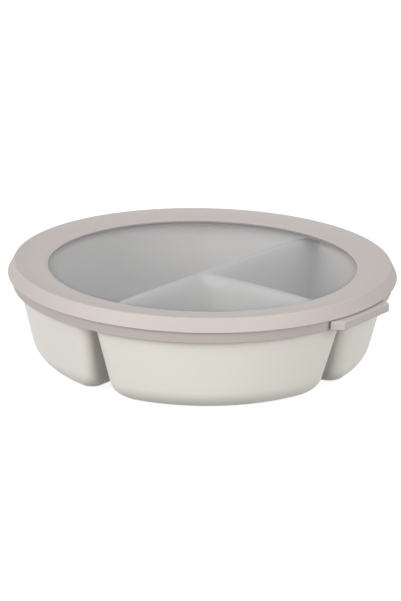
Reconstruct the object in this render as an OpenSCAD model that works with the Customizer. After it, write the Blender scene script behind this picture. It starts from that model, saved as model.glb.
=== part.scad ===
// Round lunch bowl with three compartments and a window lid with a soft ring.
// The origin is on the bowl's axis at the plane it stands on, with +Z up.

/* [Bowl] */
// Height of the bowl to the top of its rim
bowl_h = 46; // [36:1:70]
// Outer diameter of the drafted wall where it reaches the rim's top
body_d = 191.4; // [160:0.2:240]
// Lean of the outer wall from the vertical, degrees
wall_draft = 12.4; // [2:0.2:16]
// Thickness of the walls
wall_t = 2.2; // [1.4:0.1:3]
// Thickness of the floors
floor_t = 2.4; // [1.4:0.1:4]
// Rounding where the outer wall meets the base
base_round = 14; // [8:0.5:22]
// Rounding where the slot walls meet the base
slot_base_round = 9.5; // [4:0.5:12]
// Upright rounding at the outer corners of each pod
pod_corner_r = 5.8; // [4:0.1:14]
// Upright rounding at the inner corner of each quarter pod
pod_inner_corner_r = 5.5; // [4:0.5:12]

/* [Rim] */
// How far the rim stands out from the drafted wall's top
rim_out = 0.2; // [0.1:0.1:1]
// Height of the rim's outer edge
rim_t = 2.4; // [1.5:0.1:4]
// Rounding of the rim's upper edges
rim_round = 0.6; // [0.2:0.1:1]

/* [Dividers] */
// Turn of the long divider about the axis, degrees
divider_angle = 51.5; // [0:0.5:90]
// Distance from the axis to the middle of each divider, towards the smallest compartment
divider_shift = 5.9; // [0:0.1:10]
// Distance from the rim's top down to the divider's ridge at the middle
divider_down = 0.5; // [0.2:0.1:6]
// Fall of the ridge from the middle towards the wall, a gentle crown
crown_drop = 0.3; // [0:0.1:3]
// Further fall of the ridge close to the wall
end_drop = 3.4; // [1:0.1:8]
// Width of the slot under a divider, where its arch begins
slot_w = 3.8; // [3:0.1:14]
// Rounding of the arch over a slot
arch_round = 1.6; // [0.8:0.1:4]
// Lean of the slot walls from the vertical, degrees
slot_draft = 5.7; // [1:0.1:10]
// Width of the rounding on each side of the ridge
ridge_round = 2.9; // [1:0.1:5]
// Height of that rounding
ridge_fall = 8; // [2:0.1:12]
// Thickness of plastic over the slot at the ridge
ridge_t = 3; // [2.4:0.1:5]

/* [Lid window] */
// Thickness of the window
window_t = 2; // [1.2:0.1:3]
// Height of the window's top above the bowl's rim
window_up = 2.4; // [1.8:0.1:6]
// Width of the thinner edge that the ring holds
window_edge_w = 5.5; // [3:0.1:8]
// Thickness of the thinner edge
window_edge_t = 1; // [0.6:0.1:2]
// Gap all round between the window and the ring
window_gap = 0.1; // [0.05:0.05:0.3]

/* [Lid ring] */
// Distance that the skirt's edge stands out past the bowl's rim
ring_over = 4.1; // [3:0.1:10]
// Width of the ring seen from above, from the skirt's edge in to the window
ring_w = 20.5; // [16:0.5:40]
// Distance from the rim's top down to the skirt's edge
skirt_down = 1; // [0:0.1:4]
// Distance that the skirt's top edge lies inside its lower edge
skirt_in = 3.4; // [1:0.1:8]
// Height from the skirt's lower edge to its top edge
skirt_rise = 6.4; // [4:0.1:10]
// Sag of the dished top band below a straight line
band_sag = 0.5; // [0:0.1:1.5]
// Width of the bevel beside the window
bevel_w = 2; // [1:0.1:4]
// Height of the bevel beside the window
bevel_h = 0.5; // [0.2:0.1:1.5]
// Distance that the lip's top lies inside the skirt's edge
lip_in = 1.7; // [0.8:0.1:4]
// Lean of the skirt's underside from the horizontal, degrees
skirt_under_lean = 12; // [0:1:30]
// Height of the lip below the skirt
lip_h = 5.2; // [3:0.1:8]
// Distance that the lip's bottom lies inside the lip's top
lip_taper = 0.9; // [0:0.1:1.2]
// Rounding of the ring's outer edges
ring_round = 0.7; // [0.3:0.1:1.2]
// Running clearance between the lid and the bowl
lid_gap = 0.3; // [0.2:0.05:0.6]
// Width of the rib that locates the lid inside the rim
rib_w = 2; // [1:0.1:4]
// Depth of that rib below the rim's top
rib_h = 2.6; // [1:0.1:4]
// Thickness of ring under the window's edge
under_t = 1; // [0.6:0.1:2]
// Width of ring under the window's edge
under_w = 3; // [1.5:0.1:5]

/* [Pull tab] */
// Turn of the tab about the axis, degrees
tab_angle = -39.5; // [-180:0.5:180]
// Width of the tab at its straight outer edge
tab_w = 37.6; // [20:0.2:50]
// Width of the tab where its sides leave the lip
tab_root_w = 46.6; // [26:0.2:60]
// Distance that the outer edge stands out past the skirt
tab_out = 2.3; // [1:0.1:12]
// Thickness of the tab
tab_t = 4.2; // [2:0.1:5]
// Distance from the skirt's edge down to the tab's top
tab_down = 0.6; // [0.4:0.1:1.5]
// Gap at the bending line between the tab and its root
tab_gap = 0.3; // [0.2:0.05:0.5]
// Lean of the two faces of the notch at the bending line, degrees
notch_lean = 34; // [20:1:45]
// Thickness of the flat left between the two notch faces
notch_web = 0.6; // [0.3:0.1:1]

/* [Hidden] */

// Facets of full turns, and steps along the computed surfaces
$fn = 180;
corner_steps = 6;
arc_angle = 5;
side_steps = 6;
round_steps = 6;
arch_steps = 4;

// Compartments, each with the turn of its first divider, its span, and how far the middles of
// its first and last divider lie in from the planes through the axis
COMPARTMENTS = [[divider_angle, 180, [-divider_shift, -divider_shift]],
                [divider_angle + 180, 90, [divider_shift, divider_shift]],
                [divider_angle + 270, 90, [-divider_shift, divider_shift]]];

body_r = body_d / 2;
wall_lean = tan(wall_draft);
slot_lean = tan(slot_draft);
rim_r = body_r + rim_out;
divider_h = bowl_h - divider_down;
// Radius inside the rim, straight up and down so that the lid's rib can pass
well_r = body_r - wall_lean * (divider_down + crown_drop + end_drop) - wall_t;
// Height where the arch over each slot begins, under the lid's lip
arch_h = divider_h - crown_drop - end_drop - ridge_t - arch_round;
// Overrun of cuts
over = wall_t / 2;
// How far the rim's band stands proud of the pods' flat facets, and its well of the pockets'
proud = wall_t / 20;

// Height of the ridge at a distance from the axis
function ridge_h(r) =
    let (x = r / well_r) divider_h - crown_drop * pow(x, 2) - end_drop * pow(x, 8);

// Radius of the drafted outer wall at a height, before its base rounding
function wall_r(z) = body_r - wall_lean * (bowl_h - z);

// Leaning line that starts at l0 on a floor, with a rounding at the floor
function rounded_line(l0, lean, h, r) =
    let (a = atan(lean))
    h < r * (1 - sin(a))
        ? l0 + lean * r - r / cos(a) + sqrt(max(0, r * r - pow(r - h, 2)))
        : l0 + lean * h;

// Outer and inner radius of a pod at a height
function pod_r(z) = rounded_line(wall_r(0), wall_lean, z, base_round);
function pocket_r(z) =
    rounded_line(wall_r(floor_t) - wall_t, wall_lean, z - floor_t, base_round - wall_t);

// Distance of a slot wall from the divider's middle plane at a height, outside and inside
function slot_half(z) = slot_w / 2 + slot_lean * (arch_h - z);
function pod_side(z) = -rounded_line(-slot_half(0), slot_lean, z, slot_base_round);
function pocket_side(z) =
    -rounded_line(-slot_half(floor_t) - wall_t, slot_lean, z - floor_t, slot_base_round - wall_t);

function arc(c, r, a0, a1, n) =
    [for (i = [0:n]) let (t = a0 + (a1 - a0) * i / n) c + r * [cos(t), sin(t)]];

// Points between two ends, closer together towards q
function run_out(p, q, n) =
    [for (i = [1:n - 1]) let (t = 1 - pow(1 - i / n, 2)) p + (q - p) * t];
function run_in(p, q, n) = let (b = run_out(q, p, n)) [for (i = [len(b) - 1:-1:0]) b[i]];

// Outline of a compartment whose first divider lies along +X: radius r, sides a away
// from the dividers' middle planes, which lie in by shift, outer corners rc and inner corner ri
function outline(r, a, rc, ri, span, shift) =
    let (a1 = a + shift[0],
         a2 = a + shift[1],
         b = asin((a1 + rc) / (r - rc)),
         e = span - asin((a2 + rc) / (r - rc)),
         n = ceil((span - 2 * asin((slot_w / 2 + pod_corner_r) / body_r)) / arc_angle),
         first = arc((r - rc) * [cos(b), sin(b)], rc, -90, b, corner_steps),
         far = [for (i = [1:n - 1]) let (t = b + (e - b) * i / n) r * [cos(t), sin(t)]],
         last = arc((r - rc) * [cos(e), sin(e)], rc, e, span + 90, corner_steps),
         inner = span > 90
             ? [(first[0] + last[corner_steps]) / 2]
             : arc([a2 + ri, a1 + ri], ri, 180, 270, corner_steps))
    concat(first, far, last,
           run_in(last[corner_steps], inner[0], side_steps),
           inner,
           run_out(inner[len(inner) - 1], first[0], side_steps));

// Solid through a stack of rings that have the same number of points
module loft(rings) {
    n = len(rings[0]);
    m = len(rings);
    mid = function (ring) [for (k = [0:2]) [for (p = ring) p[k]] * [for (p = ring) 1] / n];
    points = concat([for (ring = rings) for (p = ring) p], [mid(rings[0]), mid(rings[m - 1])]);
    sides = [for (j = [0:m - 2]) for (i = [0:n - 1])
        let (a = j * n + i, b = j * n + (i + 1) % n)
        each [[a, a + n, b + n], [a, b + n, b]]];
    ends = [for (i = [0:n - 1])
        let (k = (i + 1) % n, t = (m - 1) * n)
        each [[m * n, i, k], [m * n + 1, t + k, t + i]]];
    polyhedron(points = points, faces = concat(sides, ends));
}

// Levels through a base rounding, from the floor upwards
function round_levels(z0, r) = [for (i = [0:round_steps]) z0 + r * (1 - cos(78 * i / round_steps))];

// Outside of one pod, up into the plastic over the slots
module pod(span, shift) {
    flat = [for (z = concat(round_levels(0, base_round), [arch_h]))
        [for (p = outline(pod_r(z), pod_side(z), pod_corner_r, pod_inner_corner_r, span, shift))
            [p[0], p[1], z]]];
    // The arch draws in over each slot and follows the ridge's height
    top = [for (i = [1:arch_steps])
        let (t = 90 * i / arch_steps,
             z = arch_h + arch_round * sin(t),
             a = slot_w / 2 - arch_round * (1 - cos(t)),
             r = pod_r(z + ridge_t / 2 * sin(t)),
             o = outline(r, a, pod_corner_r, pod_inner_corner_r, span, shift))
        [for (p = o)
            let (lift = ridge_h(norm(p)) - ridge_h(well_r))
            [p[0], p[1], z + (lift + ridge_t / 2) * sin(t)]]];
    loft(concat(flat, top));
}

// Inside of one compartment, opened out with a rounding at the dividers' ridges
module pocket(span, shift) {
    rc = pod_corner_r - wall_t;
    ri = pod_inner_corner_r - wall_t;
    levels = concat(round_levels(floor_t, base_round - wall_t), [arch_h - ridge_fall]);
    flat = [for (z = levels)
        [for (p = outline(pocket_r(z), pocket_side(z), rc, ri, span, shift)) [p[0], p[1], z]]];
    // The ridges' rounding ends a little above them and a little inside the rim's well, so
    // that the cut crosses both and doesn't only touch them
    edge = [for (i = [0:round_steps])
        let (t = 90 * i / round_steps,
             z = divider_h - ridge_fall * (1 - sin(t)),
             a = pocket_side(arch_h) - ridge_round * (1 - cos(t)),
             r = pocket_r(z - crown_drop - end_drop) - proud,
             o = outline(r, a, rc, ri, span, shift))
        [for (p = o) [p[0], p[1], ridge_h(norm(p)) + proud - ridge_fall * (1 - sin(t))]]];
    open = [[for (p = edge[round_steps]) [p[0], p[1], bowl_h + over]]];
    loft(concat(flat, edge, open));
}

// Rim and the plastic over the slots, one turned solid
module rim_and_ridges() {
    steps = 24;
    low = ridge_h(well_r) - ridge_t;
    under = [for (i = [0:steps])
        let (r = well_r * (1 - pow(1 - i / steps, 2))) [r, ridge_h(r) - ridge_t]];
    over_top = [for (i = [steps:-1:0])
        let (r = well_r * (1 - pow(1 - i / steps, 2))) [r, ridge_h(r)]];
    shelf = bowl_h - rim_t;
    rotate_extrude()
        polygon(concat(under,
            [[wall_r(low) + proud, low],
             [wall_r(shelf - rim_out) + proud, shelf - rim_out],
             [rim_r, shelf],
             [rim_r, bowl_h - rim_round]],
            [for (t = [30:30:90])
                [rim_r - rim_round * (1 - cos(t)), bowl_h - rim_round * (1 - sin(t))]],
            [for (t = [90:-30:0])
                [well_r + rim_round * (1 - cos(t)), bowl_h - rim_round * (1 - sin(t))]],
            over_top));
}

module bowl() {
    color([0.87, 0.86, 0.82])
        difference() {
            union() {
                rim_and_ridges();
                for (c = COMPARTMENTS) rotate([0, 0, c[0]]) pod(c[1], c[2]);
            }
            for (c = COMPARTMENTS) rotate([0, 0, c[0]]) pocket(c[1], c[2]);
        }
}

ring_r = rim_r + ring_over;
window_r = ring_r - ring_w;
window_h = bowl_h + window_up;
window_edge_r = window_r + window_edge_w;
window_low = window_h - window_t;

module lid_window() {
    color([0.55, 0.57, 0.6, 0.6]) {
        translate([0, 0, window_low])
            cylinder(h = window_t, r = window_r - window_gap);
        translate([0, 0, window_low])
            cylinder(h = window_edge_t, r = window_edge_r - window_gap);
    }
}

skirt_h = bowl_h - skirt_down;
crease_r = ring_r - skirt_in;
crease_h = skirt_h + skirt_rise;
lip_top_r = ring_r - lip_in;
lip_bottom_r = lip_top_r - lip_taper;
lip_inner_r = rim_r + lid_gap;
lip_low = skirt_h - lip_h - tab_down;
lip_top = skirt_h - lip_in * tan(skirt_under_lean);
rib_r = well_r - lid_gap;
under_low = window_low - under_t;
seat_h = bowl_h + lid_gap;

// Rounded corner at q between the directions to p and to s
function fillet(p, q, s, r) =
    let (u = (p - q) / norm(p - q),
         v = (s - q) / norm(s - q),
         half = acos(u * v) / 2,
         c = q + (u + v) / norm(u + v) * r / sin(half),
         a0 = atan2((q + u * r / tan(half) - c)[1], (q + u * r / tan(half) - c)[0]),
         a1 = atan2((q + v * r / tan(half) - c)[1], (q + v * r / tan(half) - c)[0]),
         d = a1 - a0 > 180 ? a1 - a0 - 360 : a1 - a0 < -180 ? a1 - a0 + 360 : a1 - a0)
    [for (i = [0:4]) c + r * [cos(a0 + d * i / 4), sin(a0 + d * i / 4)]];

module ring_profile() {
    lip_foot = [lip_bottom_r, lip_low];
    lip_head = [lip_top_r, lip_top];
    skirt_edge = [ring_r, skirt_h];
    crease = [crease_r, crease_h];
    bevel_out = [window_r + bevel_w, window_h + bevel_h];
    bevel_in = [window_r, window_h];
    band = [for (i = [1:7])
        let (t = i / 8) crease + (bevel_out - crease) * t - [0, band_sag * 4 * t * (1 - t)]];
    polygon(concat(
        fillet([lip_inner_r, seat_h], [lip_inner_r, lip_low], lip_foot, ring_round / 2),
        fillet([lip_inner_r, lip_low], lip_foot, lip_head, ring_round / 2),
        [lip_head],
        fillet(lip_head, skirt_edge, crease, ring_round / 2),
        fillet(skirt_edge, crease, band[0], ring_round),
        band,
        [bevel_out, bevel_in],
        [[window_r, window_low + window_edge_t],
         [window_edge_r, window_low + window_edge_t],
         [window_edge_r, window_low],
         [window_edge_r - under_w, window_low],
         [window_edge_r - under_w, under_low],
         [rib_r - rib_w, under_low],
         [rib_r - rib_w, bowl_h - rib_h],
         [rib_r, bowl_h - rib_h],
         [rib_r, seat_h],
         [lip_inner_r, seat_h]]));
}

tab_edge = ring_r + tab_out;
tab_top = skirt_h - tab_down;
tab_low = tab_top - tab_t;
tab_mid = (tab_top + tab_low) / 2;
// Distance from the axis of the chord where the tab's sides leave the lip
tab_chord = sqrt(pow(lip_top_r, 2) - pow(tab_root_w / 2, 2));
// Distance from the axis of the bending line
bend = lip_top_r + tab_gap;

// Half width of the tab at a distance from the axis
function tab_half(s) =
    tab_root_w / 2 + (tab_w - tab_root_w) / 2 * (s - tab_chord) / (tab_edge - tab_chord);

// Plan of the tab between two distances from the axis
module tab_plan(s0, s1) {
    polygon([[s0, -tab_half(s0)], [s1, -tab_half(s1)], [s1, tab_half(s1)], [s0, tab_half(s0)]]);
}

module lid_ring() {
    color([0.72, 0.66, 0.63]) {
        rotate_extrude() ring_profile();
        // Root of the pull tab, one with the lip
        rotate([0, 0, tab_angle])
            difference() {
                translate([0, 0, tab_low])
                    linear_extrude(tab_t)
                        tab_plan(tab_chord - wall_t, bend - tab_gap / 2);
                translate([0, 0, tab_low - over])
                    cylinder(h = tab_t + 2 * over, r = lip_inner_r + (lip_bottom_r - lip_inner_r) / 2);
            }
    }
}

module pull_tab() {
    s0 = bend + tab_gap / 2;
    nose = (tab_t - notch_web) / 2 * tan(notch_lean);
    color([0.72, 0.66, 0.63])
        rotate([0, 0, tab_angle])
            intersection() {
                translate([0, 0, tab_low])
                    linear_extrude(tab_t)
                        tab_plan(s0, tab_edge);
                // Side view, with a notch face above and below the bending line
                rotate([90, 0, 0])
                    linear_extrude(tab_root_w, center = true)
                        polygon([[s0, tab_mid - notch_web / 2],
                                 [s0 + nose, tab_low],
                                 [tab_edge, tab_low],
                                 [tab_edge, tab_top],
                                 [s0 + nose, tab_top],
                                 [s0, tab_mid + notch_web / 2]]);
            }
}

bowl();
lid_window();
lid_ring();
pull_tab();
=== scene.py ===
import math

import bmesh
import bpy
import numpy as np
from bpy.props import FloatProperty, FloatVectorProperty, PointerProperty
from mathutils import Matrix


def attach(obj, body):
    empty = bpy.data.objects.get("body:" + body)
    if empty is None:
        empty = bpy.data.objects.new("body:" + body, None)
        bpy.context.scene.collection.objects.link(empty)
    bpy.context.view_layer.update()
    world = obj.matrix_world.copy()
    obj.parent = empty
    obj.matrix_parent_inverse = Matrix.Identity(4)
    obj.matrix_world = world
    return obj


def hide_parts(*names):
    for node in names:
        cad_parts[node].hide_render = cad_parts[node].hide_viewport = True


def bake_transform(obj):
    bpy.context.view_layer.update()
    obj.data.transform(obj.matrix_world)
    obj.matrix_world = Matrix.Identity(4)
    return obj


bl_info = {
    "name": "Three-compartment lunch bowl",
    "version": (1, 0, 0),
    "blender": (4, 5, 0),
    "location": "3D View > Sidebar > Lunch Bowl",
    "description": "Builds a round divided lunch bowl with a window lid around its packed frame",
    "category": "Add Mesh",
}

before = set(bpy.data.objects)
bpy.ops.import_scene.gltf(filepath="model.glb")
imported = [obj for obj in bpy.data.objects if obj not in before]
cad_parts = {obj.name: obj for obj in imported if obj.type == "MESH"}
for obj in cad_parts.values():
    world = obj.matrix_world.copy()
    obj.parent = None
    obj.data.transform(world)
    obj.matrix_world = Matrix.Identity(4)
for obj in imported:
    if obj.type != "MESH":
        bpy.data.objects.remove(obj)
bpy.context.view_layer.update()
MM = 0.001
WELD = 1e-6  # Points closer than this, in metres, become one
QUARTER = math.pi / 2


# Sizes and colours that a user would change


def length(name, description, mm):
    """A length whose default is given in millimetres."""
    return FloatProperty(
        name=name, description=description, default=mm * MM, unit="LENGTH", precision=5
    )


def angle(name, description, degrees):
    """An angle whose default is given in degrees."""
    return FloatProperty(
        name=name, description=description, default=math.radians(degrees), subtype="ANGLE"
    )


def share(name, description, value):
    """A number from 0 to 1."""
    return FloatProperty(
        name=name, description=description, default=value, min=0, max=1, subtype="FACTOR"
    )


def pixels(name, description, value):
    """A distance on the picture, in pixels."""
    return FloatProperty(name=name, description=description, default=value, subtype="PIXEL")


def power(name, description, watts):
    """A lamp's power."""
    return FloatProperty(name=name, description=description, default=watts, min=0, unit="POWER")


def colour(name, description, rgb):
    """A linear colour."""
    return FloatVectorProperty(
        name=name, description=description, default=rgb, size=3, min=0, max=1, subtype="COLOR"
    )


class BowlSizes(bpy.types.PropertyGroup):
    """Sizes of the bowl, as the frame has them"""

    height: length("Height", "Height of the bowl to the top of its rim", 46)
    body_radius: length("Body radius", "Radius of the drafted wall at the rim's height", 95.7)
    wall_draft: angle("Wall draft", "Lean of the outer wall", 12.4)
    wall: length("Wall", "Thickness of the walls", 2.2)
    floor: length("Floor", "Thickness of the floors", 2.4)
    base_round: length("Base rounding", "Rounding where the wall meets the base", 14)
    slot_base_round: length("Slot base rounding", "Rounding under the slot walls", 9.5)
    corner: length("Pod corner", "Upright rounding at a pod's outer corners", 5.8)
    inner_corner: length("Inner corner", "Upright rounding at a quarter pod's inner corner", 5.5)
    rim_out: length("Rim overhang", "How far the rim stands out from the wall", 0.2)
    rim_height: length("Rim height", "Height of the rim's outer edge", 2.4)
    rim_round: length("Rim rounding", "Rounding of the rim's upper edges", 0.6)
    divider_turn: angle("Divider turn", "Turn of the long divider about the axis", 51.5)
    divider_shift: length("Divider shift", "Distance from the axis to each divider's middle", 5.9)
    ridge_height: length("Ridge height", "Height of the ridge at the middle", 45.5)
    crown_drop: length("Crown", "Gentle fall of the ridge towards the wall", 0.3)
    end_drop: length("End fall", "Further fall of the ridge close to the wall", 3.4)
    slot_width: length("Slot width", "Width of the slot where its arch begins", 3.8)
    arch_round: length("Arch rounding", "Rounding of the arch over a slot", 1.6)
    slot_draft: angle("Slot draft", "Lean of the slot walls", 5.7)
    ridge_round: length("Ridge rounding", "Width of the rounding on each side of the ridge", 2.9)
    ridge_fall: length("Ridge fall", "Height of that rounding", 8)
    ridge: length("Ridge thickness", "Thickness of plastic over the slot", 3)


class LidSizes(bpy.types.PropertyGroup):
    """Sizes of the lid's window and ring, as the frame has them"""

    window_radius: length("Window radius", "Radius of the window inside the ring", 79.5)
    window: length("Window thickness", "Thickness of the window", 2)
    window_height: length("Window height", "Height of the window's top", 48.4)
    window_edge_width: length("Held edge", "Width of the thin edge that the ring holds", 5.5)
    window_edge: length("Held edge thickness", "Thickness of that edge", 1)
    window_gap: length("Window gap", "Gap all round the window", 0.1)
    window_round: length("Window rounding", "Rounding of the window's top edge", 0.3)
    ring_radius: length("Ring radius", "Radius of the ring at the skirt's edge", 100)
    skirt_height: length("Skirt height", "Height of the skirt's edge", 45)
    skirt_in: length("Skirt slope", "Distance from the skirt's edge in to its top", 3.4)
    skirt_rise: length("Skirt rise", "Height from the skirt's edge to its top", 6.4)
    band_sag: length("Band sag", "Sag of the dished top band", 0.5)
    bevel_width: length("Bevel width", "Width of the bevel beside the window", 2)
    bevel_height: length("Bevel height", "Height of the bevel beside the window", 0.5)
    skirt_under: angle("Skirt underside", "Lean of the skirt's underside", 12)
    lip_in: length("Lip inset", "Distance from the skirt's edge in to the lip", 1.7)
    lip_height: length("Lip height", "Height of the lip", 5.2)
    lip_taper: length("Lip taper", "Distance that the lip draws in downwards", 0.9)
    ring_round: length("Ring rounding", "Rounding of the ring's outer edges", 0.72)
    clearance: length("Clearance", "Clearance between the lid and the bowl", 0.3)
    rib: length("Rib width", "Width of the rib inside the rim", 2)
    rib_height: length("Rib depth", "Depth of that rib below the rim's top", 2.6)
    under: length("Ring under the edge", "Thickness of ring under the window's edge", 1)
    under_width: length("Width under the edge", "Width of ring under the window's edge", 3)


class TabSizes(bpy.types.PropertyGroup):
    """Sizes of the pull tab, as the frame has them"""

    turn: angle("Turn", "Turn of the tab about the axis", -39.5)
    width: length("Width", "Width of the tab at its outer edge", 37.6)
    root_width: length("Root width", "Width of the tab where it leaves the lip", 46.6)
    out: length("Overhang", "Distance that the tab stands out past the skirt", 2.3)
    thickness: length("Thickness", "Thickness of the tab", 4.2)
    down: length("Drop", "Distance from the skirt's edge down to the tab", 0.6)
    edge_round: length("Edge rounding", "Rounding of the tab's edges", 0.45)
    hinge: length("Hinge", "Distance from the lip's top out to the bending line", 0.3)
    bend: length("Bending length", "Length over which the tab bends", 1.6)


class Finish(bpy.types.PropertyGroup):
    """Colours and gloss of the three plastics, and the shade painted on the window's edge"""

    bowl_colour: colour("Bowl", "Off-white of the bowl", (0.86, 0.84, 0.785))
    ring_colour: colour("Ring", "Pinkish warm grey of the soft ring", (0.575, 0.525, 0.505))
    window_colour: colour("Window", "Cool grey of the window", (0.325, 0.38, 0.505))
    bowl_roughness: share("Bowl roughness", "Roughness of the bowl", 0.42)
    ring_roughness: share("Ring roughness", "Roughness of the soft ring", 0.56)
    window_roughness: share("Window roughness", "Roughness of the window", 0.04)
    # Painted shade: a dark blue mixed into the window's colour near its edge stands in for the
    # shadow under the ring on the bowl's far wall. The next two set where it starts and where it
    # is full.
    window_painted_shade_colour: colour("Window edge", "Tint at the window's edge", (0.10, 0.12, 0.26))
    window_painted_shade_start: length("Tint start", "Distance from the edge where its tint starts", 4)
    window_painted_shade_full: length("Full tint", "Distance from the edge where it is full", 1)
    window_haze: share("Window haze", "Share of light that each face of the window stops", 0.19)


class StageLook(bpy.types.PropertyGroup):
    """Floor, lamps and camera"""

    frame_height: pixels("Frame height", "Height of the picture", 601)
    focal: pixels("Focal length", "Focal length of the camera on the picture", 1500)
    sensor: FloatProperty(
        name="Sensor", description="Longer side of the sensor", default=36, unit="CAMERA"
    )
    elevation: angle("Elevation", "Camera's height over the horizon", 17.306)
    roll: angle("Roll", "Camera's roll", -0.994)
    distance: length("Distance", "Camera's distance from the lid", 775.975)
    aim_across: pixels("Aim across", "Shift of the aim across the picture", -1.428)
    aim_down: pixels("Aim down", "Shift of the aim down the picture", 31.561)
    aim_height: length("Aim height", "Height of the point that the camera is set from", 44.5)
    sky: share("Sky", "Strength of the sky on the object", 0.38)
    key: power("Key lamp", "Power of the lamp at the front left", 12.5)
    fill: power("Fill lamp", "Power of the lamp at the front right", 9)
    back: power("Back lamp", "Power of the lamp over the back", 1.3)
    floor_reach: length("Floor reach", "Distance from the middle to the floor's sides", 4000)
    floor_grey: share("Floor", "Grey of the floor in the lamps' light", 0.24)
    floor_roughness: share("Floor roughness", "Roughness of the floor", 0.9)
    floor_glow: share("Floor glow", "Light of the floor where it is seen directly", 0.9)


GROUPS = {
    "lunch_bowl": BowlSizes,
    "lunch_lid": LidSizes,
    "lunch_tab": TabSizes,
    "lunch_finish": Finish,
    "lunch_stage": StageLook,
}


# Surfaces


def unit(a):
    """Points on the unit circle at angles a."""
    return np.stack([np.cos(a), np.sin(a)], -1)


def grid_faces(rows, columns):
    """Four-sided faces of a grid of points numbered row by row, whose last column meets its
    first."""
    j = np.arange(rows - 1)[:, None]
    i = np.arange(columns)[None, :]
    a = j * columns + i
    b = j * columns + (i + 1) % columns
    return np.stack([a, b, b + columns, a + columns], -1).reshape(-1, 4)


def new_piece(name, sheets):
    """A mesh object from grids of points (rows x columns x 3). Points that coincide are
    welded, and the faces are turned outwards. It fails if any edge is left open."""
    points = np.concatenate([sheet.reshape(-1, 3) for sheet in sheets])
    starts = np.cumsum([0] + [sheet.shape[0] * sheet.shape[1] for sheet in sheets])
    faces = np.concatenate([
        grid_faces(sheet.shape[0], sheet.shape[1]) + start
        for sheet, start in zip(sheets, starts)
    ])
    mesh = bpy.data.meshes.new(name)
    mesh.from_pydata(points.tolist(), [], faces.tolist())
    work = bmesh.new()
    work.from_mesh(mesh)
    bmesh.ops.remove_doubles(work, verts=work.verts, dist=WELD)
    bmesh.ops.dissolve_degenerate(work, dist=WELD, edges=work.edges)
    bmesh.ops.recalc_face_normals(work, faces=work.faces)
    odd = [
        [tuple(v.co / MM) for v in edge.verts]
        for edge in work.edges
        if len(edge.link_faces) != 2
    ]
    work.to_mesh(mesh)
    work.free()
    if odd:
        raise RuntimeError(f"{name} has {len(odd)} open edges, such as {odd[:3]}")
    piece = bpy.data.objects.new(name, mesh)
    bpy.context.scene.collection.objects.link(piece)
    return piece


def shade(piece, material, sharp_degrees):
    """The piece's material, and smooth shading that is broken where two faces meet at more
    than the given angle."""
    mesh = piece.data
    mesh.materials.append(material)
    mesh.polygons.foreach_set("use_smooth", np.ones(len(mesh.polygons), bool))
    mesh.set_sharp_from_angle(angle=math.radians(sharp_degrees))


def rounded_line(start, lean, height, radius):
    """Distance from a middle plane or axis of a wall that leans out from a floor. Above the
    floor's rounding it is start + lean * height; below it, a circle that touches both."""
    slope = math.atan(lean)
    centre = start + lean * radius - radius / math.cos(slope)
    circle = centre + np.sqrt(np.maximum(0, radius**2 - (radius - height) ** 2))
    return np.where(height < radius * (1 - math.sin(slope)), circle, start + lean * height)


def corner_arc(before, corner, after, radius, steps=6):
    """Arc of the given radius that touches the two lines that meet at a corner."""
    before, corner, after = (np.array(p, float) for p in (before, corner, after))
    u = (before - corner) / np.linalg.norm(before - corner)
    v = (after - corner) / np.linalg.norm(after - corner)
    half = math.acos(float(u @ v)) / 2
    centre = corner + (u + v) / np.linalg.norm(u + v) * radius / math.sin(half)
    first = corner + u * radius / math.tan(half) - centre
    last = corner + v * radius / math.tan(half) - centre
    start = math.atan2(first[1], first[0])
    turn = (math.atan2(last[1], last[0]) - start + math.pi) % (2 * math.pi) - math.pi
    return centre + radius * unit(start + turn * np.linspace(0, 1, steps + 1))


def turned(profile, steps):
    """A profile of radius and height carried round the axis, one row for each of its points."""
    ring = unit(np.linspace(0, 2 * math.pi, steps, endpoint=False))
    across = profile[:, None, 0, None] * ring
    height = np.broadcast_to(profile[:, None, 1, None], across.shape[:2] + (1,))
    return np.concatenate([across, height], -1)


def turn(points, by):
    """Points turned about +Z."""
    spin = np.array(Matrix.Rotation(by, 3, "Z"))
    return points @ spin.T


def between(first, last, shares):
    """Rows of points at the given shares of the way from one ring of points to another."""
    return first + (last - first) * np.asarray(shares)[:, None, None]


class BowlForm:
    """The formulas that every surface of the bowl follows."""

    def __init__(self, sizes):
        s = self.s = sizes
        self.lean = math.tan(s.wall_draft)
        self.slot_lean = math.tan(s.slot_draft)
        self.rim_radius = s.body_radius + s.rim_out
        fall = s.height - s.ridge_height + s.crown_drop + s.end_drop
        self.well_radius = s.body_radius - self.lean * fall - s.wall
        self.ridge_end = s.height - fall
        self.roof_end = self.ridge_end - s.ridge
        self.arch_height = self.roof_end - s.arch_round

    def ridge_top(self, r):
        """The ridge falls from the middle with the square of the distance from the axis, and
        close to the wall with its eighth power."""
        x = np.minimum(r / self.well_radius, 1)
        return self.s.ridge_height - self.s.crown_drop * x**2 - self.s.end_drop * x**8

    def wall(self, z):
        """Radius of the outer wall before its base rounding."""
        return self.s.body_radius - self.lean * (self.s.height - z)

    def outside(self, z):
        """Outer radius of a pod."""
        return rounded_line(self.wall(0), self.lean, z, self.s.base_round)

    def inside(self, z):
        """Inner radius of a pod."""
        s = self.s
        start = self.wall(s.floor) - s.wall
        return rounded_line(start, self.lean, z - s.floor, s.base_round - s.wall)

    def slot(self, z):
        """Half of a slot's width before its base rounding."""
        return self.s.slot_width / 2 + self.slot_lean * (self.arch_height - z)

    def side_outside(self, z):
        """Distance of a pod's slot wall from the divider's middle plane, on the slot's side."""
        return -rounded_line(-self.slot(0), self.slot_lean, z, self.s.slot_base_round)

    def side_inside(self, z):
        """The same on the compartment's side."""
        s = self.s
        start = -self.slot(s.floor) - s.wall
        return -rounded_line(start, self.slot_lean, z - s.floor, s.slot_base_round - s.wall)


# Heights of the rows over the rounded foot of a pod's wall, as shares of its radius
FOOT = 1 - np.cos(np.radians(np.linspace(0, 80, 15)))


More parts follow.
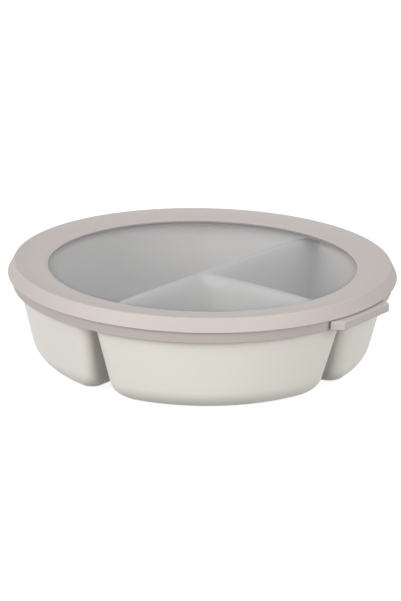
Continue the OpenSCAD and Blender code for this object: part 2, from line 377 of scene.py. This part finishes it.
class Pod:
    """Rings of points round one pod. Its first divider lies along +X and its second at the
    span's angle; place turns it to where it stands. The dividers' middle planes lie in by
    shift from the planes through the axis, and joint is how far along each of them the
    dividers meet."""

    corner_steps = 12  # Points along an outer corner
    inner_steps = 12  # Points along the inner corner, or from one side to the other
    side_steps = 24  # Points along a side
    arc_step_degrees = 1.6  # Turn from point to point along the arc
    crowding = 1.6  # How much closer together a side's points lie towards the wall

    def __init__(self, form, place, span, shift, joint):
        self.form = form
        self.place = place
        self.span = span
        self.shift = shift
        self.joint = joint
        self.straight = math.isclose(span, math.pi)
        self.arc_steps = round(math.degrees(span) / self.arc_step_degrees)
        self.way = unit(np.array(span))
        self.left = np.array([math.sin(span), -math.cos(span)])

    def corner_turn(self, r, a, corner):
        """Angle from the divider to the corner's centre."""
        return np.arcsin((a + corner) / (r - corner))

    def along(self, near, reach):
        """Distances along a divider from the inner corner to the outer one, closer together
        towards the wall."""
        t = 1 - (1 - np.linspace(0, 1, self.side_steps + 1)[1:-1]) ** self.crowding
        return near + (reach - near) * t

    def rings(self, radius, side, corner, inner):
        """Outlines, a row for each entry of radius and side: an arc of that radius, straight
        sides at distance side from the dividers' middle planes, and rounded corners."""
        r, a = np.broadcast_arrays(
            np.asarray(radius, float)[:, None], np.asarray(side, float)[:, None]
        )
        a1, a2 = a + self.shift[0], a + self.shift[1]
        b1, b2 = self.corner_turn(r, a1, corner), self.corner_turn(r, a2, corner)
        near1, near2 = (at + a + inner for at in self.joint)
        e = self.span - b2
        t = np.linspace(0, 1, self.corner_steps + 1)
        hub = (r - corner)[..., None]
        first = hub * unit(b1) + corner * unit(-QUARTER + (b1 + QUARTER) * t)
        far = r[..., None] * unit(b1 + (e - b1) * np.linspace(0, 1, self.arc_steps + 1)[1:-1])
        last = hub * unit(e) + corner * unit(e + (self.span + QUARTER - e) * t)
        out1 = self.along(near1, (r - corner) * np.cos(b1))
        out2 = self.along(near2, (r - corner) * np.cos(b2))
        s = np.linspace(0, 1, self.inner_steps + 1)
        if self.straight:
            middle = np.stack([(near1 + near2) * s - near2, a1 + 0 * s], -1)
        else:
            middle = np.stack([a2 + inner, a1 + inner], -1) + inner * unit(math.pi + QUARTER * s)
        one = out1[..., None] * np.array([1, 0]) + a1[..., None] * np.array([0, 1])
        two = out2[:, ::-1, None] * self.way + a2[..., None] * self.left
        return np.concatenate([first, far, last, two, middle, one], 1)

    def arc_angles(self, r, a, corner, outer):
        """Angles of the points on the outer arc of this pod's share of the bowl."""
        start, end = (math.asin(at / outer) for at in self.shift)
        first, last = (self.corner_turn(r, a + at, corner) for at in self.shift)
        half = self.corner_steps // 2
        return np.concatenate([
            np.linspace(start, first, half + 1)[:-1],
            np.linspace(first, self.span - last, self.arc_steps + 1),
            np.linspace(self.span - last, self.span - end, half + 1)[1:],
        ])

    def share_outline(self, r, a, corner, inner, outer):
        """Outline of the whole share of the bowl that holds this pod, out to the dividers'
        middle planes and the radius outer, with a point for each point of the ring whose
        radius and side are given. Pods that are neighbours get the same points."""
        half = self.corner_steps // 2
        ray = np.array([1, 0])
        reach = (r - corner) * math.cos(self.corner_turn(r, a, corner))
        end = math.sqrt(outer**2 - self.shift[0] ** 2)
        line = np.linspace(reach, end, half + 1)[:, None]
        arc = outer * unit(self.arc_angles(r, a, corner, outer))
        out1, out2 = (self.along(at + a + inner, reach)[:, None] for at in self.joint)
        up, over = self.shift[0] * np.array([0, 1]), self.shift[1] * self.left
        s = 2 * np.linspace(0, 1, self.inner_steps + 1)[:, None] - 1
        spread = (a + inner) * (np.maximum(-s, 0) * self.way + np.maximum(s, 0) * ray)
        middle = self.joint[0] * ray + up + spread
        return np.concatenate([
            line * ray + up,
            arc[1:-1],
            line[::-1] * self.way + over,
            out2[::-1] * self.way + over,
            middle,
            out1 * ray + up,
        ])

    def raised(self, flat, height):
        """Points in plan with their heights, turned into place."""
        height = np.broadcast_to(height, flat.shape[:-1])
        return turn(np.concatenate([flat, height[..., None]], -1), self.place)

    def floor(self, ring, height):
        """A flat floor inside a ring: copies of it drawn in towards its middle."""
        middle = np.repeat(ring.mean(0, keepdims=True), len(ring), 0)
        return self.raised(between(middle, ring, np.linspace(0, 1, 7)[:-1]), height)

    def top_sheet(self):
        """The compartment: floor, rounded foot, leaning walls, rounded ridges and the ridges'
        crowned tops out to the middle of each divider. The angles of its outermost points are
        kept for the rim."""
        f, s = self.form, self.form.s
        corner, inner = s.corner - s.wall, s.inner_corner - s.wall
        foot = s.floor + (s.base_round - s.wall) * FOOT
        z = np.concatenate([foot, np.linspace(foot[-1], f.arch_height - s.ridge_fall, 6)[1:]])
        walls = self.rings(f.inside(z), f.side_inside(z), corner, inner)
        t = np.radians(np.linspace(0, 90, 11))
        drop = s.ridge_fall * (1 - np.sin(t))
        side = f.side_inside(np.array(f.arch_height)) - s.ridge_round * (1 - np.cos(t))
        radius = f.inside(f.ridge_end - drop)
        edge = self.rings(radius, side, corner, inner)
        edge_z = f.ridge_top(np.linalg.norm(edge, axis=-1)) - drop[:, None]
        outline = self.share_outline(radius[-1], side[-1], corner, inner, f.well_radius)
        crown = between(edge[-1], outline, np.linspace(0, 1, 5)[1:])
        crown_z = f.ridge_top(np.linalg.norm(crown, axis=-1))
        walls_up = self.raised(walls, z[:, None])
        edge_up = self.raised(edge, edge_z)
        self.top_angles = self.arc_angles(radius[-1], side[-1], corner, f.well_radius)
        return np.concatenate([
            self.floor(walls[0], s.floor),
            walls_up,
            between(walls_up[-1], edge_up[0], [0.33, 0.67]),
            edge_up,
            self.raised(crown, crown_z),
        ])

    def under_sheet(self):
        """The outside: base, rounded foot, leaning walls, and the arches over the slots out to
        the middle of each divider. The angles of its outermost points are kept for the rim."""
        f, s = self.form, self.form.s
        corner, inner = s.corner, s.inner_corner
        foot = s.base_round * FOOT
        z = np.concatenate([foot, np.linspace(foot[-1], f.arch_height, 8)[1:]])
        walls = self.rings(f.outside(z), f.side_outside(z), corner, inner)
        t = np.radians(np.linspace(0, 90, 9)[1:])
        rise = np.sin(t)
        side = s.slot_width / 2 - s.arch_round * (1 - np.cos(t))
        radius = f.outside(f.arch_height + s.arch_round * rise)
        arch = self.rings(radius, side, corner, inner)
        roof = f.ridge_top(np.linalg.norm(arch, axis=-1)) - s.ridge
        arch_z = f.arch_height + (roof - f.arch_height) * rise[:, None]
        outline = self.share_outline(radius[-1], side[-1], corner, inner, f.wall(f.roof_end))
        flat = between(arch[-1], outline, np.linspace(0, 1, 4)[1:])
        flat_z = f.ridge_top(np.linalg.norm(flat, axis=-1)) - s.ridge
        self.under_angles = self.arc_angles(radius[-1], side[-1], corner, f.wall(f.roof_end))
        return np.concatenate([
            self.floor(walls[0], 0),
            self.raised(walls, z[:, None]),
            self.raised(arch, arch_z),
            self.raised(flat, flat_z),
        ])


def rim_strip(form, pods):
    """The band over the slots and the rim: its profile is carried round the axis from the
    pods' outer arcs to the compartments' arcs."""
    f, s = form, form.s
    shelf = s.height - s.rim_height
    t = np.radians(np.linspace(0, 90, 6))
    curve = s.rim_round * np.stack([1 - np.cos(t), 1 - np.sin(t)], -1)
    outside = np.array([f.rim_radius, s.height]) + curve * [-1, -1]
    inside = np.array([f.well_radius, s.height]) + (curve * [1, -1])[::-1]
    wall_z = np.linspace(f.roof_end, shelf - s.rim_out, 6)
    wall = np.stack([f.wall(wall_z), wall_z], -1)
    well_z = np.linspace(s.height - s.rim_round, f.ridge_end, 8)[1:]
    well = np.stack([f.well_radius + 0 * well_z, well_z], -1)
    profile = np.concatenate([wall, [[f.rim_radius, shelf]], outside, inside, well])
    low = np.concatenate([pod.place + pod.under_angles[:-1] for pod in pods])
    high = np.concatenate([pod.place + pod.top_angles[:-1] for pod in pods])
    mix = np.linspace(0, 1, len(profile))[:, None]
    plan = profile[:, 0, None, None] * unit(low + (high - low) * mix)
    height = np.broadcast_to(profile[:, 1, None, None], plan.shape[:2] + (1,))
    return np.concatenate([plan, height], -1)


# Finishes

GLOSS_DRIFT = 0.05  # How far a plastic's roughness drifts to either side


def plastic(name, base, roughness, mottle, grain, grain_depth, **sockets):
    """A moulded plastic. Its colour drifts by the share mottle with a broad noise, its gloss
    with a finer one, and its skin has the grain of the mould: a noise of scale grain, and
    grain_depth metres deep. The other constants are set on the shader's own sockets."""
    material = bpy.data.materials.new(name)
    material.use_nodes = True
    tree = material.node_tree
    link = tree.links.new
    shader = tree.nodes["Principled BSDF"]
    where = tree.nodes.new("ShaderNodeTexCoord").outputs["Object"]

    def noise(scale, detail):
        node = tree.nodes.new("ShaderNodeTexNoise")
        node.inputs["Scale"].default_value = scale
        node.inputs["Detail"].default_value = detail
        link(where, node.inputs["Vector"])
        return node.outputs["Fac"]

    drift = tree.nodes.new("ShaderNodeValToRGB")
    dark, pale = drift.color_ramp.elements
    dark.position, pale.position = 0.3, 0.7
    dark.color = (*[c * (1 - mottle) for c in base], 1)
    pale.color = (*[min(c * (1 + mottle), 1) for c in base], 1)
    link(noise(scale=14, detail=3), drift.inputs["Fac"])
    link(drift.outputs["Color"], shader.inputs["Base Color"])

    gloss = tree.nodes.new("ShaderNodeMapRange")
    gloss.inputs["To Min"].default_value = roughness - GLOSS_DRIFT
    gloss.inputs["To Max"].default_value = roughness + GLOSS_DRIFT
    link(noise(scale=60, detail=2), gloss.inputs["Value"])
    link(gloss.outputs["Result"], shader.inputs["Roughness"])

    bump = tree.nodes.new("ShaderNodeBump")
    bump.inputs["Strength"].default_value = 0.5
    bump.inputs["Distance"].default_value = grain_depth
    link(noise(scale=grain, detail=2), bump.inputs["Height"])
    link(bump.outputs["Normal"], shader.inputs["Normal"])

    for socket, value in sockets.items():
        shader.inputs[socket.replace("_", " ")].default_value = value
    return material


def bowl_material(look):
    """Off-white moulded plastic, slightly waxy."""
    return plastic(
        "off_white_bowl_plastic", look.bowl_colour, look.bowl_roughness,
        mottle=0.012, grain=1400, grain_depth=4e-5, Specular_IOR_Level=0.4,
    )


def ring_material(look):
    """Soft, matt, pinkish-grey moulded rubber."""
    return plastic(
        "pinkish_grey_soft_rubber", look.ring_colour, look.ring_roughness,
        mottle=0.018, grain=2200, grain_depth=5e-5,
        Specular_IOR_Level=0.35, Sheen_Weight=0.08, Sheen_Roughness=0.5,
    )


def window_material(look, radius):
    """Clear grey moulded sheet: each face stops a share of the light and shows its gloss. A
    painted shade darkens it in a narrow band at its edge, where r = sqrt(x^2 + y^2) nears the
    radius, standing in for the shadow under the ring."""
    material = plastic(
        "cool_grey_window_plastic", look.window_colour, look.window_roughness + GLOSS_DRIFT,
        mottle=0.02, grain=25, grain_depth=2e-4, Alpha=look.window_haze, Specular_IOR_Level=0.5,
    )
    tree = material.node_tree
    link = tree.links.new
    shader = tree.nodes["Principled BSDF"]
    where = next(node for node in tree.nodes if node.type == "TEX_COORD").outputs["Object"]
    plan = tree.nodes.new("ShaderNodeVectorMath")
    plan.operation = "MULTIPLY"
    plan.inputs[1].default_value = (1, 1, 0)
    link(where, plan.inputs[0])
    distance = tree.nodes.new("ShaderNodeVectorMath")
    distance.operation = "LENGTH"
    link(plan.outputs["Vector"], distance.inputs[0])
    # Painted shade: a band at the window's edge where the base colour turns to the dark shade
    # colour
    near = tree.nodes.new("ShaderNodeMapRange")
    near.inputs["From Min"].default_value = radius - look.window_painted_shade_start
    near.inputs["From Max"].default_value = radius - look.window_painted_shade_full
    link(distance.outputs["Value"], near.inputs["Value"])
    tint = tree.nodes.new("ShaderNodeMixRGB")
    tint.inputs["Color2"].default_value = (*look.window_painted_shade_colour, 1)
    link(near.outputs["Result"], tint.inputs["Fac"])
    link(shader.inputs["Base Color"].links[0].from_socket, tint.inputs["Color1"])
    link(tint.outputs["Color"], shader.inputs["Base Color"])
    return material


# Pieces


class LUNCH_OT_bowl_shell(bpy.types.Operator):
    """Build the bowl with its three pods, slots, ridges and rim"""

    bl_idname = "lunch.bowl_shell"
    bl_label = "Bowl Shell"

    def execute(self, context):
        scene = context.scene
        form = BowlForm(scene.lunch_bowl)
        start, d = form.s.divider_turn, form.s.divider_shift
        pods = [
            Pod(form, start, math.pi, (-d, -d), (-d, d)),
            Pod(form, start + math.pi, math.pi / 2, (d, d), (d, d)),
            Pod(form, start + math.pi * 1.5, math.pi / 2, (-d, d), (d, -d)),
        ]
        sheets = [sheet for pod in pods for sheet in (pod.top_sheet(), pod.under_sheet())]
        sheets.append(rim_strip(form, pods))
        shell = new_piece("bowl_shell", sheets)
        shade(shell, bowl_material(scene.lunch_finish), sharp_degrees=38)
        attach(shell, "bowl_body")
        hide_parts("bowl")
        return {"FINISHED"}


class LUNCH_OT_window_pane(bpy.types.Operator):
    """Build the lid's window with its thin held edge"""

    bl_idname = "lunch.window_pane"
    bl_label = "Window Pane"

    def execute(self, context):
        scene = context.scene
        s = scene.lunch_lid
        radius = s.window_radius - s.window_gap
        held = radius + s.window_edge_width
        low = s.window_height - s.window
        t = np.radians(np.linspace(90, 0, 5))
        edge = [radius, s.window_height] + s.window_round * (unit(t) - 1)
        across = np.linspace(0, radius - s.window_round, 24)[:-1]
        top = np.stack([across, s.window_height + 0 * across], -1)
        across = np.linspace(held, 0, 28)
        under = np.stack([across, low + 0 * across], -1)
        step = [[radius, low + s.window_edge], [held, low + s.window_edge]]
        profile = np.concatenate([top, edge, step, under])
        pane = new_piece("window_pane", [turned(profile, steps=192)])
        shade(pane, window_material(scene.lunch_finish, radius), sharp_degrees=30)
        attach(pane, "lid")
        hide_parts("lid_window")
        return {"FINISHED"}


def ring_profile(s, tab, form):
    """Radius and height of the points round the ring's section, from the lip's inner side out
    and over the band to the window's groove and the rib. The last point is the first again."""
    lip_inside = form.rim_radius + s.clearance
    lip_top = s.ring_radius - s.lip_in
    lip_low = s.skirt_height - s.lip_height - tab.down
    seat = form.s.height + s.clearance
    foot = [lip_top - s.lip_taper, lip_low]
    head = [lip_top, s.skirt_height - s.lip_in * math.tan(s.skirt_under)]
    skirt = [s.ring_radius, s.skirt_height]
    crease = np.array([s.ring_radius - s.skirt_in, s.skirt_height + s.skirt_rise])
    bevel = np.array([s.window_radius + s.bevel_width, s.window_height + s.bevel_height])
    t = np.linspace(0, 1, 17)[1:-1, None]
    sag = np.array([0, s.band_sag]) * 4 * t * (1 - t)
    band = crease + (bevel - crease) * t - sag
    window_top = [s.window_radius, s.window_height]
    window_low = s.window_height - s.window
    held = s.window_radius + s.window_edge_width
    rib = form.well_radius - s.clearance
    rib_inside = rib - s.rib
    rib_low = form.s.height - s.rib_height
    under_low = window_low - s.under
    rib_top = [rib_inside, under_low]
    soft = s.ring_round
    profile = np.concatenate([
        corner_arc([lip_inside, seat], [lip_inside, lip_low], foot, soft / 2),
        corner_arc([lip_inside, lip_low], foot, head, soft / 2),
        corner_arc(foot, head, skirt, soft / 2, steps=4),
        corner_arc(head, skirt, crease, soft / 2),
        corner_arc(skirt, crease, band[0], soft, steps=8),
        band,
        corner_arc(band[-1], bevel, window_top, soft / 2, steps=4),
        [window_top,
         [s.window_radius, window_low + s.window_edge],
         [held, window_low + s.window_edge],
         [held, window_low],
         [held - s.under_width, window_low],
         [held - s.under_width, under_low],
         rib_top],
        corner_arc(rib_top, [rib_inside, rib_low], [rib, rib_low], soft / 2, steps=4),
        corner_arc([rib_inside, rib_low], [rib, rib_low], [rib, seat], soft / 2, steps=4),
        [[rib, seat], [lip_inside, seat]],
    ])
    return np.concatenate([profile, profile[:1]])


class LUNCH_OT_soft_ring(bpy.types.Operator):
    """Build the soft ring with its dished band, flared skirt, lip and rib"""

    bl_idname = "lunch.soft_ring"
    bl_label = "Soft Ring"

    def execute(self, context):
        scene = context.scene
        form = BowlForm(scene.lunch_bowl)
        profile = ring_profile(scene.lunch_lid, scene.lunch_tab, form)
        ring = new_piece("soft_ring", [turned(profile, steps=288)])
        shade(ring, ring_material(scene.lunch_finish), sharp_degrees=35)
        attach(ring, "lid")
        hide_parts("lid_ring")
        return {"FINISHED"}


def tab_sheet(s, lid, form):
    """The tab before it is turned into place: a thin core with a skin of the edge's rounding
    all round it. A row is its outline in side view, out along the underside, up the outer face
    and back along the top. The rows go across the tab from one side to the other."""
    lip_top = lid.ring_radius - lid.lip_in
    lip_inside = form.rim_radius + lid.clearance
    root = (lip_inside + lip_top - lid.lip_taper) / 2
    edge = lid.ring_radius + s.out
    middle = lid.skirt_height - s.down - s.thickness / 2
    chord = math.sqrt(lip_top**2 - (s.root_width / 2) ** 2)
    soft = s.edge_round
    tall = s.thickness / 2 - soft
    end = edge - soft

    run = np.linspace(root, end, 25)
    face = np.linspace(-1, 1, 9)[1:-1] * tall
    bend = np.linspace(0, QUARTER, 6)
    turns = len(bend) - 1
    core = np.concatenate([
        np.stack([run, 0 * run - tall], -1),
        np.tile([end, -tall], (turns, 1)),
        np.stack([0 * face + end, face], -1),
        np.tile([end, tall], (turns, 1)),
        np.stack([run[::-1], 0 * run + tall], -1),
    ])
    out = np.concatenate([
        np.tile([0.0, -1.0], (len(run), 1)),
        unit(bend[1:] - QUARTER),
        np.tile([1.0, 0.0], (len(face), 1)),
        unit(bend[:-1]),
        np.tile([0.0, 1.0], (len(run), 1)),
    ])
    # Across the tab: a cap that closes in to the core's middle, its rounding, the flat, and
    # the same again
    flat = np.linspace(-1, 1, 31)[1:-1]
    caps = np.array([0, 0.35, 0.7])
    side_points = len(caps) + len(bend)
    tilt = np.concatenate([0 * caps - QUARTER, -bend[::-1], 0 * flat, bend, 0 * caps + QUARTER])
    across = np.concatenate([np.full(side_points, -1.0), flat, np.full(side_points, 1.0)])
    close = np.concatenate([caps, np.ones(len(bend) + len(flat) + len(bend)), caps[::-1]])
    centre = (root + end) / 2
    along = centre + np.outer(0.5 + close / 2, core[:, 0] - centre)
    wide = s.root_width + (s.width - s.root_width) * (along - chord) / (edge - chord)
    skin = soft * np.cos(tilt)
    reach = along + np.outer(skin, out[:, 0])
    side = across[:, None] * (wide / 2 - soft) + soft * np.sin(tilt)[:, None]
    height = middle + np.outer(close, core[:, 1]) + np.outer(skin, out[:, 1])
    return np.stack([reach, side, height], -1)


class LUNCH_OT_tab_tongue(bpy.types.Operator):
    """Build the pull tab as one soft tongue that grows out of the lip"""

    bl_idname = "lunch.tab_tongue"
    bl_label = "Pull Tab"

    def execute(self, context):
        scene = context.scene
        s, lid, form = scene.lunch_tab, scene.lunch_lid, BowlForm(scene.lunch_bowl)
        tongue = new_piece("tab_tongue", [turn(tab_sheet(s, lid, form), s.turn)])
        shade(tongue, ring_material(scene.lunch_finish), sharp_degrees=50)
        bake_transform(tongue)
        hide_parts("pull_tab")
        return {"FINISHED"}


# Stage


def aim_camera(look):
    """Places the camera from the pixels and angles that were fitted to the photograph. It
    stands on the -Y side, above the horizon, and looks along +Y and down at the object, turned
    by the aim's two angles and rolled."""
    el = look.elevation
    back = np.array([0, -math.cos(el), math.sin(el)])
    right = np.array([1.0, 0, 0])
    facing = np.array([right, np.cross(back, right), back])
    ax, ay = math.atan2(look.aim_across, look.focal), math.atan2(look.aim_down, look.focal)
    across = np.array([
        [math.cos(ax), 0, math.sin(ax)],
        [0, 1, 0],
        [-math.sin(ax), 0, math.cos(ax)],
    ])
    down = np.array(Matrix.Rotation(ay, 3, "X"))
    roll = np.array(Matrix.Rotation(look.roll, 3, "Z"))
    place = np.eye(4)
    place[:3, :3] = (roll @ down @ across @ facing).T
    place[:3, 3] = back * look.distance + [0, 0, look.aim_height]
    camera = bpy.data.objects.new("camera", bpy.data.cameras.new("camera"))
    camera.data.sensor_width = look.sensor
    camera.data.lens = look.focal * look.sensor / look.frame_height
    camera.data.clip_start = 0.01
    camera.matrix_world = Matrix(place.tolist())
    bpy.context.scene.collection.objects.link(camera)
    bpy.context.scene.camera = camera


def lamp(name, place, size, watts, tint):
    """A square soft lamp that faces the object."""
    data = bpy.data.lights.new(name, "AREA")
    data.shape = "SQUARE"
    data.size = size
    data.energy = watts
    data.color = tint
    light = bpy.data.objects.new(name, data)
    light.location = place
    light.rotation_euler = (-light.location).to_track_quat("-Z", "Y").to_euler()
    bpy.context.scene.collection.objects.link(light)


def seen_directly(tree):
    """1 for rays from the camera and those that mirror or glass sends on, and 0 for the rest."""
    path = tree.nodes.new("ShaderNodeLightPath").outputs
    total = path["Is Camera Ray"]
    for other in ("Is Glossy Ray", "Is Transmission Ray"):
        most = tree.nodes.new("ShaderNodeMath")
        most.operation = "MAXIMUM"
        tree.links.new(total, most.inputs[0])
        tree.links.new(path[other], most.inputs[1])
        total = most.outputs[0]
    return total


def floor_material(look):
    """White to the eye, but a dull grey that keeps the object's shadow and sends little light
    back up to it."""
    paper = bpy.data.materials.new("pale_paper")
    paper.use_nodes = True
    tree = paper.node_tree
    shader = tree.nodes["Principled BSDF"]
    shader.inputs["Base Color"].default_value = (*[look.floor_grey] * 3, 1)
    shader.inputs["Roughness"].default_value = look.floor_roughness
    shader.inputs["Specular IOR Level"].default_value = 0
    shader.inputs["Emission Color"].default_value = (1, 1, 1, 1)
    glow = tree.nodes.new("ShaderNodeMath")
    glow.operation = "MULTIPLY"
    glow.inputs[1].default_value = look.floor_glow
    tree.links.new(seen_directly(tree), glow.inputs[0])
    tree.links.new(glow.outputs[0], shader.inputs["Emission Strength"])
    return paper


class LUNCH_OT_stage(bpy.types.Operator):
    """Set the pale floor, the soft lamps, the sky and the camera"""

    bl_idname = "lunch.stage"
    bl_label = "Stage"

    def execute(self, context):
        look = context.scene.lunch_stage
        world = bpy.data.worlds.new("studio")
        world.use_nodes = True
        tree = world.node_tree
        sky = tree.nodes["Background"]
        sky.inputs["Color"].default_value = (1, 1, 1, 1)
        level = tree.nodes.new("ShaderNodeMapRange")
        level.inputs["To Min"].default_value = look.sky
        level.inputs["To Max"].default_value = 1
        tree.links.new(seen_directly(tree), level.inputs["Value"])
        tree.links.new(level.outputs["Result"], sky.inputs["Strength"])
        context.scene.world = world

        reach = look.floor_reach
        corners = [(-reach, -reach, 0), (reach, -reach, 0), (reach, reach, 0), (-reach, reach, 0)]
        floor = bpy.data.meshes.new("floor")
        floor.from_pydata(corners, [], [(0, 1, 2, 3)])
        floor.materials.append(floor_material(look))
        ground = bpy.data.objects.new("floor", floor)
        context.scene.collection.objects.link(ground)

        # Place in metres, side in metres, power and tint of each lamp
        lamp("key_lamp", (-0.98, -0.86, 0.62), 0.8, look.key, (1, 0.985, 0.97))
        lamp("fill_lamp", (0.8, -1.0, 0.5), 0.9, look.fill, (1, 0.98, 0.95))
        lamp("back_lamp", (0.3, 0.9, 1.0), 0.8, look.back, (1, 1, 1))
        aim_camera(look)
        context.scene.view_settings.view_transform = "Standard"
        return {"FINISHED"}


class LUNCH_PT_bowl(bpy.types.Panel):
    """The lunch bowl's pieces, sizes and finishes"""

    bl_idname = "LUNCH_PT_bowl"
    bl_label = "Lunch Bowl"
    bl_space_type = "VIEW_3D"
    bl_region_type = "UI"
    bl_category = "Lunch Bowl"

    def draw(self, context):
        for operator in OPERATORS:
            self.layout.operator(operator.bl_idname)
        for name, group in GROUPS.items():
            box = self.layout.box()
            for field in group.__annotations__:
                box.prop(getattr(context.scene, name), field)


OPERATORS = (
    LUNCH_OT_bowl_shell,
    LUNCH_OT_window_pane,
    LUNCH_OT_soft_ring,
    LUNCH_OT_tab_tongue,
    LUNCH_OT_stage,
)


def register():
    """Registers the classes and hangs each group of settings on the scene."""
    for cls in (*GROUPS.values(), *OPERATORS, LUNCH_PT_bowl):
        bpy.utils.register_class(cls)
    for name, group in GROUPS.items():
        setattr(bpy.types.Scene, name, PointerProperty(type=group))


def unregister():
    """Takes the settings and the classes out again."""
    for name in GROUPS:
        delattr(bpy.types.Scene, name)
    for cls in reversed((*GROUPS.values(), *OPERATORS, LUNCH_PT_bowl)):
        bpy.utils.unregister_class(cls)


def main():
    """Builds the pieces and the stage."""
    register()
    bpy.ops.lunch.bowl_shell()
    bpy.ops.lunch.window_pane()
    bpy.ops.lunch.soft_ring()
    bpy.ops.lunch.tab_tongue()
    bpy.ops.lunch.stage()


if __name__ == "__main__":
    main()
